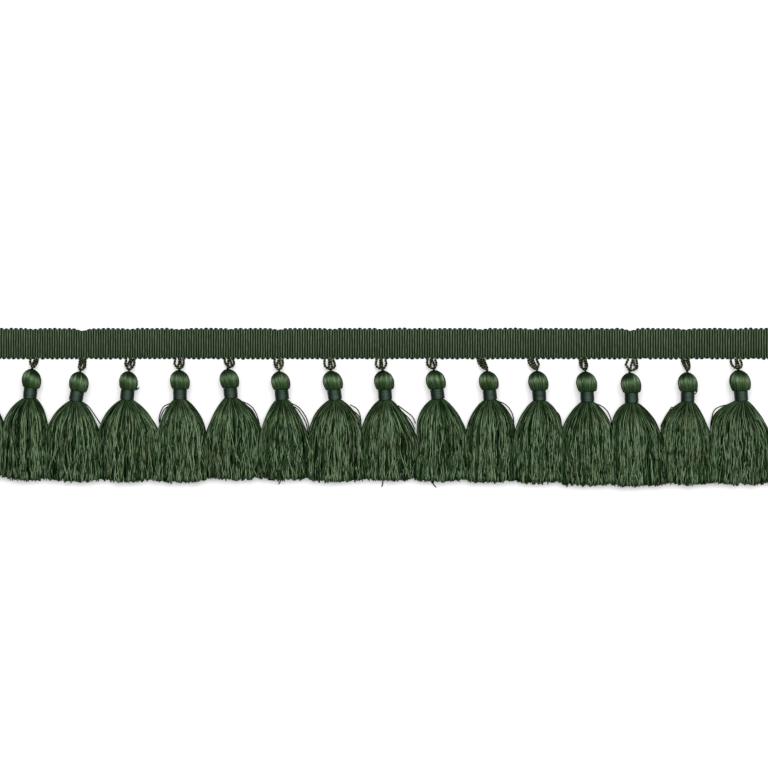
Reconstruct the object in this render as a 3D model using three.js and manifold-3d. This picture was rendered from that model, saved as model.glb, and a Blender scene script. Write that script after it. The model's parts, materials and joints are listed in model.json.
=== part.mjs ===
// Tassel fringe trim: a woven, ribbed header tape with a row of yarn tassels hung below it on
// short loops of twisted cord. The length lies flat, face up, on a surface at z = 0.
//
// Units are millimetres. +X runs along the tape, +Y points across it away from the tassels and
// +Z is up. The origin is the middle of the tape's flat back.
//
// Each tassel is one hank of yarn: it is drawn over a round head, bound at the neck and cut
// level at the hem. Head, neck and skirt are therefore one solid, and the binding and the
// hanging loop are pieces of their own.

import * as THREE from "three";
import { mergeVertices } from "three/addons/utils/BufferGeometryUtils.js";
import Module from "manifold-3d";

const wasm = await Module();
wasm.setup();

// ---------------------------------------------------------------- driving sizes

const FIT_GAP = 0.3; // left between pieces that touch on the real trim

const TAPE = {
  length: 410,
  ribs: 164, // raised ribs, each ending in one scallop at the upper edge
  crowding: 6.3, // the ribs lie closer at the left end; the middle is a quarter of this ahead
  width: 15.8, // over the scallops
  scallop: 1.1, // depth of the notch between two scallops
  thick: 1.4, // over the ribs
  groove: 0.35, // depth of the groove between two ribs
  pinchReach: 2.9, // how far along the tape a stitched loop draws its edges in
};

const ROUND_SIDES = 12; // sides of a head, a neck and a binding

// A tassel's neck and its binding, with heights measured along it from the foot of the neck.
const NECK = { radius: 2.6, top: 5.1 };
const BINDING = { foot: 0.1, length: 4.7, radius: 3.4 };

// The round of a head: height above its middle and radius, as shares of the head's radius.
const HEAD_ROUND = [
  { up: -0.46, out: 0.93 },
  { up: -0.14, out: 1.0 },
  { up: 0.14, out: 1.0 },
  { up: 0.62, out: 0.8 },
  { up: 1.03, out: 0.25 },
];

// rise: how far the corner of a slanting cord's cut end may stand above its middle
const CORD = { radius: 0.62, sides: 3, rise: 0.25 };
// Two bights of cord make one loop, so four strands run from the tape to the top of the head.
// Where each arrives there, from the middle of the head.
const STRAND_ARRIVES = [-0.3, -0.1, 0.1, 0.3];

const SKIRT = {
  settled: 0.55, // share of the length by which the locks have come down to lie level
  flareEnd: 0.08, // the roots are fused as far as this share of the length
  stations: [0.08, 0.17, 0.34, 0.6, 1], // shares of the length where a lock has a section
  lockGap: 0.24, // share of each lock's pitch that is left open beside it
  sideGap: 0.3, // kept free at each side of a skirt
  hemRound: 1.2, // how much shorter the sides are cut than the middle
  height: 5.3, // of the locks together, once they lie level
  // Layers of locks from the floor up, with their heights where they lie level and the share
  // of the skirt's width that they cover.
  layers: [
    { locks: 6, low: 0, high: 1.55, cover: 1.0 },
    { locks: 5, low: 1.9, high: 3.45, cover: 1.0 },
    { locks: 5, low: 3.8, high: 5.3, cover: 0.82 },
  ],
};

// One row for each tassel, from left to right.
//   loop: x of the loop's middle at the tape's edge
//   head, ball: x of the head's middle, and the head's radius
//   neck, foot: x and y of the foot of the neck
//   left, right, hem: x of the hem's two ends, and y of its middle
//   fullL, fullR: how soon each side reaches its full width; a higher power is sooner
//   pinch: how far the loop's stitches draw in the tape's upper edge
const COLUMNS = ["loop", "head", "ball", "neck", "foot", "left", "fullL", "right", "fullR", "hem", "pinch"];
const TASSELS = [
  [-193.5, -194.0, 4.9, -194.3, -27.5, -205.0, 6.0, -183.0, 7.0, -66.8, 0.5],
  [-168.2, -169.0, 4.9, -170.0, -27.3, -183.0, 8.5, -161.3, 8.0, -68.5, 0.5],
  [-143.8, -145.3, 4.95, -147.1, -28.7, -161.3, 7.0, -135.0, 5.0, -69.2, 1.3],
  [-120.6, -120.6, 4.75, -121.5, -28.2, -135.0, 7.4, -106.3, 6.0, -69.2, 0.5],
  [-95.8, -95.0, 4.95, -94.9, -28.0, -106.3, 5.4, -82.3, 6.5, -69.7, 0.5],
  [-70.5, -70.3, 4.85, -69.4, -27.2, -82.3, 4.3, -54.8, 6.4, -68.2, 0.3],
  [-46.0, -44.7, 4.75, -43.8, -28.2, -54.8, 5.0, -30.0, 3.5, -68.5, 0.7],
  [-20.3, -18.7, 4.95, -17.3, -28.2, -30.0, 7.5, -4.2, 7.3, -69.5, 0.5],
  [5.3, 7.0, 4.95, 7.7, -28.2, -4.2, 6.3, 23.7, 3.8, -68.8, 0.3],
  [30.8, 32.8, 4.9, 34.0, -27.8, 23.7, 9.5, 48.5, 5.2, -69.2, 0.3],
  [55.7, 59.2, 4.85, 60.1, -28.2, 48.5, 7.0, 72.2, 8.0, -69.7, 0.5],
  [81.8, 84.0, 5.0, 84.7, -28.5, 72.2, 5.5, 95.8, 9.0, -70.0, 0.5],
  [106.7, 108.1, 5.2, 108.6, -29.2, 95.8, 6.4, 121.0, 7.5, -71.2, 0.4],
  [130.5, 130.3, 5.15, 130.7, -29.7, 121.0, 12.0, 145.7, 5.8, -71.7, 1.3],
  [158.0, 158.7, 5.0, 158.6, -29.2, 145.7, 8.5, 170.8, 4.4, -70.7, 0.7],
  [183.3, 184.7, 5.35, 185.5, -28.7, 170.8, 12.0, 201.5, 4.2, -70.7, 0.5],
].map((row) => Object.fromEntries(COLUMNS.map((name, i) => [name, row[i]])));

// How each loop hangs: for its four strands from left to right, how far they lie from the
// loop's middle at the tape's edge and halfway down.
const LOOPS = [
  { leave: [-2.1, -0.3, 0.4, 2.1], halfway: [-2.2, -0.3, 0.8, 2.4] },
  { leave: [-1.9, 0.4, 1.0, 1.8], halfway: [-1.75, -0.4, 0.7, 1.4] },
  { leave: [-1.5, -0.45, 0.4, 1.3], halfway: [-1.6, -0.6, 0.8, 1.3] },
  { leave: [-1.5, 0.5, 1.5, 2.55], halfway: [-1.8, -0.6, 0.75, 2.5] },
  { leave: [-1.75, 0.3, 0.9, 2.4], halfway: [-2.0, 0.1, 1.1, 2.45] },
  { leave: [-2.3, -0.4, 0.45, 1.95], halfway: [-1.8, -0.6, 1.0, 2.4] },
  { leave: [-1.8, 0.15, 0.75, 2.15], halfway: [-1.7, -0.6, 1.0, 2.3] },
  { leave: [-2.45, -0.2, 0.45, 1.9], halfway: [-2.45, -0.25, 1.0, 2.65] },
  { leave: [-2.05, -0.2, 0.45, 2.45], halfway: [-2.4, -0.2, 0.7, 2.75] },
  { leave: [-2.1, -0.5, 0.15, 1.9], halfway: [-2.2, -0.55, 1.1, 2.35] },
  { leave: [-1.75, -0.7, 0.45, 1.55], halfway: [-0.8, 0.2, 1.2, 2.25] },
  { leave: [-2.45, -1.3, -0.2, 1.7], halfway: [-1.9, -0.5, 0.7, 2.55] },
  { leave: [-1.65, -0.7, 0.5, 1.3], halfway: [-1.6, -0.9, 1.1, 1.85] },
  { leave: [-1.4, 1.0, 1.3, 2.85], halfway: [-2.5, 0.0, 1.75, 3.05] },
  { leave: [-1.85, -0.85, 0.45, 1.45], halfway: [-1.1, -0.4, 1.15, 1.75] },
  { leave: [-2.65, -0.15, 0.35, 2.1], halfway: [-2.5, -0.3, 0.8, 2.6] },
];

// A head of flat sides rests on one of them, so its axis lies this high.
const axisZ = (row) => row.ball * Math.cos(Math.PI / ROUND_SIDES);
const headMiddle = (row) => NECK.top + 0.89 * row.ball;

// ---------------------------------------------------------------- materials

const yarn = new THREE.MeshStandardMaterial({ color: 0x35512f, roughness: 0.62, metalness: 0 });
const grosgrain = new THREE.MeshStandardMaterial({ color: 0x33482e, roughness: 0.8, metalness: 0 });
const bindingThread = new THREE.MeshStandardMaterial({ color: 0x263c3a, roughness: 0.5, metalness: 0 });
const loopCord = new THREE.MeshStandardMaterial({ color: 0x3b4a2c, roughness: 0.7, metalness: 0 });

// ---------------------------------------------------------------- geometry helpers

// A closed skin over a row of rings, each ring a list of [x, y, z] with the same count. The
// rings run so that each one, seen from the next, turns anticlockwise.
function skin(rings) {
  const sides = rings[0].length;
  const index = [];
  for (let r = 0; r + 1 < rings.length; r++) {
    for (let k = 0; k < sides; k++) {
      const a = r * sides + k;
      const b = r * sides + ((k + 1) % sides);
      index.push(a, b, b + sides, a, b + sides, a + sides);
    }
  }
  const last = (rings.length - 1) * sides;
  for (let k = 1; k + 1 < sides; k++) {
    index.push(0, k + 1, k);
    index.push(last, last + k, last + k + 1);
  }
  const geometry = new THREE.BufferGeometry();
  geometry.setAttribute("position", new THREE.Float32BufferAttribute(rings.flat(2), 3));
  geometry.setIndex(index);
  return geometry;
}

function toSolid(geometry) {
  const bare = geometry.clone();
  bare.deleteAttribute("normal");
  bare.deleteAttribute("uv");
  const merged = mergeVertices(bare, 1e-4);
  return new wasm.Manifold(
    new wasm.Mesh({
      numProp: 3,
      vertProperties: new Float32Array(merged.attributes.position.array),
      triVerts: new Uint32Array(merged.index.array),
    }),
  );
}

function toGeometry(solid) {
  const mesh = solid.getMesh();
  const geometry = new THREE.BufferGeometry();
  geometry.setAttribute("position", new THREE.Float32BufferAttribute(mesh.vertProperties, 3));
  geometry.setIndex(new THREE.Uint32BufferAttribute(mesh.triVerts, 1));
  geometry.computeVertexNormals();
  return geometry;
}

function named(name, geometry, material) {
  const mesh = new THREE.Mesh(geometry, material);
  mesh.name = name;
  return mesh;
}

// ---------------------------------------------------------------- header tape

// Where the given number of ribs ends. With u for the share of the tape's length, the count is
// ribs u + crowding u (1 - u), and this is its inverse.
function afterRibs(count) {
  const all = TAPE.ribs + TAPE.crowding;
  const share = (all - Math.sqrt(all * all - 4 * TAPE.crowding * count)) / (2 * TAPE.crowding);
  return (share - 0.5) * TAPE.length;
}

// How far the loops' stitches draw in the tape's edge at x.
function pinchAt(x) {
  return TASSELS.reduce((sum, row) => {
    const away = (x - row.loop) / TAPE.pinchReach;
    return sum + row.pinch * Math.exp(-away * away);
  }, 0);
}

// One section across the tape, on a rib's crest or in the groove between two ribs. The weft
// turns back over a crest at the upper edge and under a groove at the lower edge, so the
// scallops of the two edges are staggered by half a rib.
function tapeSection(x, inGroove) {
  const pinch = pinchAt(x);
  const lower = -TAPE.width / 2 + (inGroove ? 0 : TAPE.scallop) + 0.3 * pinch;
  const upper = TAPE.width / 2 - (inGroove ? TAPE.scallop : 0) - pinch;
  const z = TAPE.thick - (inGroove ? TAPE.groove : 0);
  return [
    [x, lower, 0],
    [x, upper, 0],
    [x, upper, z],
    [x, lower, z],
  ];
}

function headerTape() {
  const sections = [];
  for (let k = 0; k <= 2 * TAPE.ribs; k++) {
    sections.push(tapeSection(afterRibs(k / 2), k % 2 === 0));
  }
  return named("tape", skin(sections), grosgrain);
}

// ---------------------------------------------------------------- tassel

// Directions round the tassel's axis as [across, up]; a flat side faces the floor.
const AROUND = Array.from({ length: ROUND_SIDES }, (_, k) => {
  const turn = ((k + 0.5) / ROUND_SIDES) * 2 * Math.PI - Math.PI / 2;
  return [-Math.cos(turn), Math.sin(turn)];
});

// The turned form of neck and head, as radii r at heights y above the foot of the neck.
function turnedRings(row, lean) {
  const steps = [
    { y: 0, r: NECK.radius },
    { y: NECK.top, r: NECK.radius },
    { y: NECK.top + 0.5, r: 0.72 * row.ball },
    ...HEAD_ROUND.map(({ up, out }) => ({ y: headMiddle(row) + up * row.ball, r: out * row.ball })),
  ];
  return steps.map(({ y, r }) =>
    AROUND.map(([across, up]) => [
      r * across * Math.cos(lean) - y * Math.sin(lean),
      r * across * Math.sin(lean) + y * Math.cos(lean),
      axisZ(row) + r * up,
    ]),
  );
}

// Where the skirt's side lies at share s of its length: side is -1 for left and 1 for right.
function skirtEdge(row, side, s) {
  const hem = (side < 0 ? row.left : row.right) - side * SKIRT.sideGap - row.neck;
  const root = side * NECK.radius;
  const full = side < 0 ? row.fullL : row.fullR;
  return root + (hem - root) * (1 - Math.pow(1 - s, full));
}

// A point of the skirt at share s of its length. The yarn leaves the neck as a round bundle
// and settles into a low oblong: across runs from -1 to 1 between the skirt's sides and up
// from -1 to 1 between its underside and its top, and both are rounded off near the neck.
function skirtPoint(row, s, across, up) {
  const settled = 1 - Math.pow(1 - Math.min(1, s / SKIRT.settled), 2.5);
  const round = 1 - settled;
  const side = Math.abs(skirtEdge(row, Math.sign(across), s));
  const middle = axisZ(row) + (SKIRT.height / 2 - axisZ(row)) * settled;
  return [
    side * across * Math.sqrt(1 - (round * up * up) / 2),
    (row.hem - row.foot) * s + SKIRT.hemRound * (s - SKIRT.flareEnd) * across * across,
    middle + (SKIRT.height / 2) * up * Math.sqrt(1 - (round * across * across) / 2),
  ];
}

function headNeckAndRoots(row, lean) {
  const rootRing = AROUND.map(([across, up]) => {
    const toSquare = 1.015 / Math.max(Math.abs(across), Math.abs(up));
    return skirtPoint(row, SKIRT.flareEnd, across * toSquare, up * toSquare);
  });
  return skin([rootRing, ...turnedRings(row, lean)]);
}

// One lock: flat underneath, with a ridge above, and cut off at the hem.
function lock(row, layer, first, last, trim) {
  const up = (z) => (2 * z) / SKIRT.height - 1;
  const sections = SKIRT.stations.map((s) => {
    const reach = s === 1 ? 1 - trim : s;
    return [
      skirtPoint(row, reach, first * layer.cover, up(layer.low)),
      skirtPoint(row, reach, last * layer.cover, up(layer.low)),
      skirtPoint(row, reach, ((first + last) / 2) * layer.cover, up(layer.high)),
    ];
  });
  return skin(sections);
}

function skirtLocks(row) {
  const solids = [];
  SKIRT.layers.forEach((layer, level) => {
    const pitch = 2 / (layer.locks - SKIRT.lockGap);
    for (let k = 0; k < layer.locks; k++) {
      const first = -1 + pitch * k;
      const last = first + pitch * (1 - SKIRT.lockGap);
      // Cut ends differ a little in length, by a fixed rule.
      const trim = 0.012 + 0.012 * Math.sin(2.4 * k + 1.7 * level + row.neck);
      solids.push(toSolid(lock(row, layer, first, last, trim)));
    }
  });
  return solids;
}

function tasselYarn(name, row, lean) {
  const solids = [toSolid(headNeckAndRoots(row, lean)), ...skirtLocks(row)];
  return named(name, toGeometry(wasm.Manifold.union(solids)), yarn);
}

function neckBinding(name) {
  const inner = NECK.radius + FIT_GAP + 0.03;
  const foot = BINDING.foot;
  const outline = [
    [inner, foot],
    [BINDING.radius, foot],
    [BINDING.radius, foot + BINDING.length],
    [inner, foot + BINDING.length],
    [inner, foot],
  ].map(([x, y]) => new THREE.Vector2(x, y));
  const geometry = new THREE.LatheGeometry(outline, ROUND_SIDES, Math.PI / ROUND_SIDES);
  return named(name, geometry, bindingThread);
}

// The strands of both bights, from the tape's lower edge down to the top of the head, where
// they are joined. Start and foot are points in the tassel's group.
function hangingLoop(name, hang, start, foot) {
  const section = new THREE.Shape();
  for (let k = 0; k < CORD.sides; k++) {
    const turn = (k / CORD.sides) * 2 * Math.PI;
    const point = [CORD.radius * Math.cos(turn), CORD.radius * Math.sin(turn)];
    section[k ? "lineTo" : "moveTo"](...point);
  }
  section.closePath();
  const strands = STRAND_ARRIVES.map((arrives, k) => {
    const leave = start.clone();
    leave.x += hang.leave[k];
    const halfway = new THREE.Vector3().lerpVectors(start, foot, 0.5);
    halfway.x = start.x + hang.halfway[k];
    const arrive = foot.clone();
    arrive.x += arrives;
    const path = new THREE.CatmullRomCurve3([leave, halfway, arrive]);
    path.getUtoTmapping = (share) => share; // a section at each of the three points
    const options = { steps: 2, extrudePath: path, bevelEnabled: false };
    return toSolid(new THREE.ExtrudeGeometry(section, options));
  });
  return named(name, toGeometry(wasm.Manifold.union(strands)), loopCord);
}

function tassel(row, number) {
  const label = String(number).padStart(2, "0");
  const group = new THREE.Group();
  group.position.set(row.neck, row.foot, 0);
  const lean = Math.asin((row.neck - row.head) / headMiddle(row));
  group.add(tasselYarn(`tassel_${label}`, row, lean));

  const binding = neckBinding(`binding_${label}`);
  binding.position.set(0, 0, axisZ(row));
  binding.rotation.z = lean;
  group.add(binding);

  const headTop = headMiddle(row) + HEAD_ROUND.at(-1).up * row.ball;
  const start = new THREE.Vector3(
    row.loop - row.neck,
    -TAPE.width / 2 - FIT_GAP - CORD.rise - row.foot + 0.3 * row.pinch,
    TAPE.thick / 2,
  );
  const foot = new THREE.Vector3(
    -headTop * Math.sin(lean),
    headTop * Math.cos(lean) + FIT_GAP + CORD.radius,
    axisZ(row),
  );
  group.add(hangingLoop(`loop_${label}`, LOOPS[number - 1], start, foot));
  return group;
}

// ---------------------------------------------------------------- the whole trim

const trim = new THREE.Group();
trim.name = "tassel_fringe_trim";
trim.add(headerTape());
TASSELS.forEach((row, i) => trim.add(tassel(row, i + 1)));

export default trim;
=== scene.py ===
# %% [markdown]
# # Tassel fringe trim
#
# The object is a length of passementerie: a narrow ribbed tape with a row of small tassels
# that hang from it on loops of twisted cord. It lies flat, face up. This script dresses the
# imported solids. The tape is redrawn with its weft ribs, each tassel with its single yarns,
# each neck with the turns of its binding, and each loop with the two plies of its cord.
#
# Every piece is a surface worked out with numpy. A shape is a function of two parameters on a
# grid, or a round section carried along a path, for all points at once.

# %% Load the frame
import json
import math

import bpy
import numpy as np
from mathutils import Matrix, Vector

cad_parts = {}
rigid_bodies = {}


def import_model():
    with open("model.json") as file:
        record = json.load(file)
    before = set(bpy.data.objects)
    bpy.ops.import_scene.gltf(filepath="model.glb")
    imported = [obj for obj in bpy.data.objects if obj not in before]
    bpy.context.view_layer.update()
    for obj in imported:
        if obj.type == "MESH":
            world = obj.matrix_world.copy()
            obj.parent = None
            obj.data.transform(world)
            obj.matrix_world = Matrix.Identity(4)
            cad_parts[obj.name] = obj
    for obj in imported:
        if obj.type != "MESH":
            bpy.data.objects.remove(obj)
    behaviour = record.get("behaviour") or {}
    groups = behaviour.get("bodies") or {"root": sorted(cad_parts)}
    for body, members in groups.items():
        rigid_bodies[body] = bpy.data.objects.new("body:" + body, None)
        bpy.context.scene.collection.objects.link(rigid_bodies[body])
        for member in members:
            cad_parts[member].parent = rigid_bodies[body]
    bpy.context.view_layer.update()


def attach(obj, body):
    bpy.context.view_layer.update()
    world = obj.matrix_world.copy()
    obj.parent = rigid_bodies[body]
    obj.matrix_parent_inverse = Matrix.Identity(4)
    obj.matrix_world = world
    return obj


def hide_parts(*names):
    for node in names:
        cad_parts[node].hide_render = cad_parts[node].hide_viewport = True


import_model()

# %% [markdown]
# ## Sizes
#
# The sizes are those of the solids, in millimetres, so that each dressed piece lies where its
# solid lies. A trim is hand-finished: no two tassels hang quite alike. One formula with one set
# of sizes would repeat itself sixteen times, so each tassel has a row of its own, and each
# function below takes one row.

# %% Driving sizes
MM = 0.001

TAPE_LENGTH = 410.0
TAPE_UNITS = 164  # pairs of weft ribs; each pair ends in one scallop at the upper edge
CROWDING = 6.3  # the pairs lie closer at the left end; the middle is a quarter of this ahead
TAPE_WIDTH = 15.8
TAPE_THICK = 1.4
SCALLOP = 1.1
PINCH_REACH = 2.9

NECK_RADIUS = 2.6
NECK_TOP = 5.1
BINDING_FOOT = 0.1
BINDING_LENGTH = 4.85
BINDING_RADIUS = 3.4
SKIRT_HEIGHT = 5.3
HEM_ROUND = 1.2

# loop: x of the loop's middle at the tape's edge
# head, ball: x of the head's middle, and the head's radius
# neck, foot: x and y of the foot of the neck
# left, right, hem: x of the hem's two ends, and y of its middle
# full_l, full_r: how soon each side of the skirt reaches its full width
# pinch: how far the loop's stitches draw in the tape's upper edge
COLUMNS = "loop head ball neck foot left full_l right full_r hem pinch".split()
ROWS = [
    [-193.5, -194.0, 4.90, -194.3, -27.5, -205.0, 6.0, -183.0, 7.0, -66.8, 0.5],
    [-168.2, -169.0, 4.90, -170.0, -27.3, -183.0, 8.5, -161.3, 8.0, -68.5, 0.5],
    [-143.8, -145.3, 4.95, -147.1, -28.7, -161.3, 7.0, -135.0, 5.0, -69.2, 1.3],
    [-120.6, -120.6, 4.75, -121.5, -28.2, -135.0, 7.4, -106.3, 6.0, -69.2, 0.5],
    [-95.8, -95.0, 4.95, -94.9, -28.0, -106.3, 5.4, -82.3, 6.5, -69.7, 0.5],
    [-70.5, -70.3, 4.85, -69.4, -27.2, -82.3, 4.3, -54.8, 6.4, -68.2, 0.3],
    [-46.0, -44.7, 4.75, -43.8, -28.2, -54.8, 5.0, -30.0, 3.5, -68.5, 0.7],
    [-20.3, -18.7, 4.95, -17.3, -28.2, -30.0, 7.5, -4.2, 7.3, -69.5, 0.5],
    [5.3, 7.0, 4.95, 7.7, -28.2, -4.2, 6.3, 23.7, 3.8, -68.8, 0.3],
    [30.8, 32.8, 4.90, 34.0, -27.8, 23.7, 9.5, 48.5, 5.2, -69.2, 0.3],
    [55.7, 59.2, 4.85, 60.1, -28.2, 48.5, 7.0, 72.2, 8.0, -69.7, 0.5],
    [81.8, 84.0, 5.00, 84.7, -28.5, 72.2, 5.5, 95.8, 9.0, -70.0, 0.5],
    [106.7, 108.1, 5.20, 108.6, -29.2, 95.8, 6.4, 121.0, 7.5, -71.2, 0.4],
    [130.5, 130.3, 5.15, 130.7, -29.7, 121.0, 12.0, 145.7, 5.8, -71.7, 1.3],
    [158.0, 158.7, 5.00, 158.6, -29.2, 145.7, 8.5, 170.8, 4.4, -70.7, 0.7],
    [183.3, 184.7, 5.35, 185.5, -28.7, 170.8, 12.0, 201.5, 4.2, -70.7, 0.5],
]
TASSELS = [dict(zip(COLUMNS, row), number=i + 1) for i, row in enumerate(ROWS)]


def head_middle(row):
    """Height of the head's middle above the foot of the neck: the neck plus most of the ball."""
    return NECK_TOP + 0.89 * row["ball"]


def axis_height(row):
    """Height of the neck's axis above the floor. The solid's head rests on one of 12 flats."""
    return row["ball"] * math.cos(math.pi / 12)


def lean(row):
    """Angle of the neck from the y axis, which carries the head's middle to its place."""
    return math.asin((row["neck"] - row["head"]) / head_middle(row))


def numbered(name, row):
    """The name of a piece or node of one tassel, such as cord_07."""
    return f"{name}_{row['number']:02d}"


def by_table(value, table):
    """The second column of a table at a value of its first, straight between its rows."""
    return np.interp(value, *np.transpose(table))


print(len(TASSELS), "tassels on", round(TAPE_LENGTH, 1), "mm of tape")

# %% [markdown]
# ## Camera
#
# The trim is seen from straight above. A long lens a good way off keeps the near and the far
# yarns at the same scale, as a plan view does, and still gives true perspective.

# %% Camera
LENS_LENGTH = 150
SENSOR_WIDTH = 36
CAMERA_HEIGHT = 1.603  # in metres, as the place below it
PLAN_MIDDLE = (0.0070, -0.02025)

lens = bpy.data.cameras.new("plan_camera")
lens.lens = LENS_LENGTH
lens.sensor_width = SENSOR_WIDTH
camera = bpy.data.objects.new("plan_camera", lens)
camera.location = (*PLAN_MIDDLE, CAMERA_HEIGHT)
bpy.context.scene.collection.objects.link(camera)
bpy.context.scene.camera = camera
print("view is", round(SENSOR_WIDTH / LENS_LENGTH * CAMERA_HEIGHT / MM), "mm wide at the floor")

# %% [markdown]
# ## Floor and light
#
# A pale floor, pale surroundings that fill the shadows, and one wide soft lamp overhead. The
# lamp stands well towards the tape, so that the silk heads catch a band of light just above
# their middles and the hems throw a faint shadow. Between the tassels hardly any light gets down
# to the floor, so the floor has a faint glow of its own that keeps it white there. Brighter
# lamps would do that too, but they would bleach the yarn.

# %% Floor
bpy.ops.mesh.primitive_plane_add(size=8)
floor = bpy.context.object
floor.name = "floor"
paper = bpy.data.materials.new("floor_paper")
paper.use_nodes = True
paper_shader = paper.node_tree.nodes["Principled BSDF"]
paper_shader.inputs["Base Color"].default_value = (0.93, 0.93, 0.93, 1)
paper_shader.inputs["Roughness"].default_value = 0.9
paper_shader.inputs["Specular IOR Level"].default_value = 0.1
paper_shader.inputs["Emission Color"].default_value = (1, 1, 1, 1)
paper_shader.inputs["Emission Strength"].default_value = 0.22
floor.data.materials.append(paper)
print("floor:", [round(side) for side in floor.dimensions[:2]], "m")

# %% Light
world = bpy.data.worlds.new("studio")
bpy.context.scene.world = world
world.use_nodes = True
world.node_tree.nodes["Background"].inputs["Color"].default_value = (1, 1, 1, 1)
world.node_tree.nodes["Background"].inputs["Strength"].default_value = 0.55


def soft_lamp(name, place, sides, power):
    """A rectangular area lamp at a place, aimed at the middle of the trim."""
    light = bpy.data.lights.new(name, "AREA")
    light.shape = "RECTANGLE"
    light.size, light.size_y = sides
    light.energy = power
    lamp = bpy.data.objects.new(name, light)
    bpy.context.scene.collection.objects.link(lamp)
    lamp.location = place
    towards = Vector((*PLAN_MIDDLE, 0)) - Vector(place)
    lamp.rotation_euler = towards.to_track_quat("-Z", "Y").to_euler()
    return lamp


overhead = soft_lamp("overhead", place=(0.14, 0.85, 2.1), sides=(2.2, 1.5), power=39)
bpy.context.scene.view_settings.view_transform = "Standard"
print("lamp:", overhead.name, overhead.data.energy, "W")

# %% [markdown]
# ## From grids to meshes
#
# Two helpers turn arrays into meshes. One closes a grid of points into a tube: the rows follow
# a path and the columns go round it. The other carries a round section along many paths at
# once, which is how a skirt of more than three hundred yarns becomes one mesh in a few lines.
# Curves with a bevel would do it too, but a curve can't carry the shade and tone of each point
# that the finishes read.

# %% Mesh helpers
def mesh_piece(name, points, faces, **attributes):
    """A smooth mesh object at the origin from points in millimetres and faces as index lists.

    Each attribute has one number or one vector for each point.
    """
    points = points.reshape(-1, 3)
    mesh = bpy.data.meshes.new(name)
    mesh.from_pydata((points * MM).tolist(), [], faces)
    mesh.polygons.foreach_set("use_smooth", np.ones(len(mesh.polygons), bool))
    for key, values in attributes.items():
        is_vector = values.size == points.size
        kind, field = ("FLOAT_VECTOR", "vector") if is_vector else ("FLOAT", "value")
        layer = mesh.attributes.new(key, kind, "POINT")
        layer.data.foreach_set(field, values.astype(np.float32).ravel())
    mesh.update()
    piece = bpy.data.objects.new(name, mesh)
    bpy.context.scene.collection.objects.link(piece)
    return piece


def tube_faces(count, rows, sides, first_point=0):
    """Faces of `count` closed tubes, each of `rows` rings with `sides` points.

    A side face joins point k and k+1 of one ring with those of the next ring. Each end is
    closed by one face of all its ring's points.
    """
    ring = np.arange(rows - 1)[:, None] * sides
    k = np.arange(sides)[None, :]
    after = (k + 1) % sides
    quads = np.stack([ring + k, ring + after, ring + after + sides, ring + k + sides], -1)
    quads = quads.reshape(-1, 4)
    starts = np.arange(count)[:, None, None] * rows * sides + first_point
    side_faces = (quads[None] + starts).reshape(-1, 4)
    first = (starts[:, 0] + np.arange(sides)[::-1][None, :]).reshape(-1, sides)
    last = (starts[:, 0] + (rows - 1) * sides + np.arange(sides)[None, :]).reshape(-1, sides)
    return side_faces.tolist() + first.tolist() + last.tolist()


print("faces of a tube of 3 rings with 6 points:", len(tube_faces(1, 3, 6)))

# %% Tubes round paths
UPWARD = np.array([0.01, 0.0, 1.0])  # a hair aslant, so that a path straight up has a side too


def unit(vectors):
    """Each vector divided by its length."""
    return vectors / np.maximum(np.linalg.norm(vectors, axis=-1, keepdims=True), 1e-9)


def round_section(paths, radius, sides, turn=0.0):
    """Points of tubes round many paths at once, and the direction round the tube at each.

    paths is (count, rows, 3) and radius is (count, rows) or one number. At each point the
    section's two directions are the tangent crossed with the upward direction, and that
    crossed with the tangent again: point = path + radius (cos a side + sin a up), and the
    direction round the tube is cos a up - sin a side.
    """
    tangent = unit(np.gradient(paths, axis=1))
    side = unit(np.cross(tangent, UPWARD))[:, :, None]
    up = np.cross(side[:, :, 0], tangent)[:, :, None]
    angle = 2 * np.pi * np.arange(sides) / sides + turn
    cos, sin = np.cos(angle)[None, None, :, None], np.sin(angle)[None, None, :, None]
    radius = np.broadcast_to(np.asarray(radius, float), paths.shape[:2])[..., None, None]
    points = paths[:, :, None] + radius * (cos * side + sin * up)
    return points.reshape(-1, 3), (cos * up - sin * side).reshape(-1, 3)


print("sections keep upright by", UPWARD)

# %% [markdown]
# ## Finishes
#
# All four finishes are dyed yarn, so they share one recipe. Each point of a mesh carries four
# attributes. `shade` is painted light and shade: it runs from 0 for yarn deep in a gap, painted
# nearly black, to 1 for yarn on a crest, painted as lit. `tone` sets each single yarn a little
# lighter or darker than its neighbours; on the skirts it also carries each yarn's painted sheen.
# `run` holds the length along the yarn in millimetres and the yarn's own number, so that streaks
# of painted sheen follow each yarn. `across` is the direction across the fibres: silk spreads its
# highlight that way. The bright band over a head and down the middle of a binding is partly that
# reflection and partly a painted highlight in `shade`.
#
# Shade, tone and streak together pick a colour between three levels of painted light on the
# dyed yarn: one for gaps, painted nearly black as deep shade, one for half light and one for
# crests, painted as their highlight. Reflected pale surroundings would make a dark colour look
# milky, so the reflection is kept low. Worn patches shift the colour.
#
# An image of yarn would be quicker, but it would show its repeat. Noise does not.

# %% Yarn finish
def new_node(material, kind, **settings):
    """A node of the given kind with its settings; a key such as In_Scale sets an input."""
    node = material.node_tree.nodes.new(kind)
    for key, value in settings.items():
        if key.startswith("In_"):
            node.inputs[key[3:].replace("_", " ")].default_value = value
        else:
            setattr(node, key, value)
    return node


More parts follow.
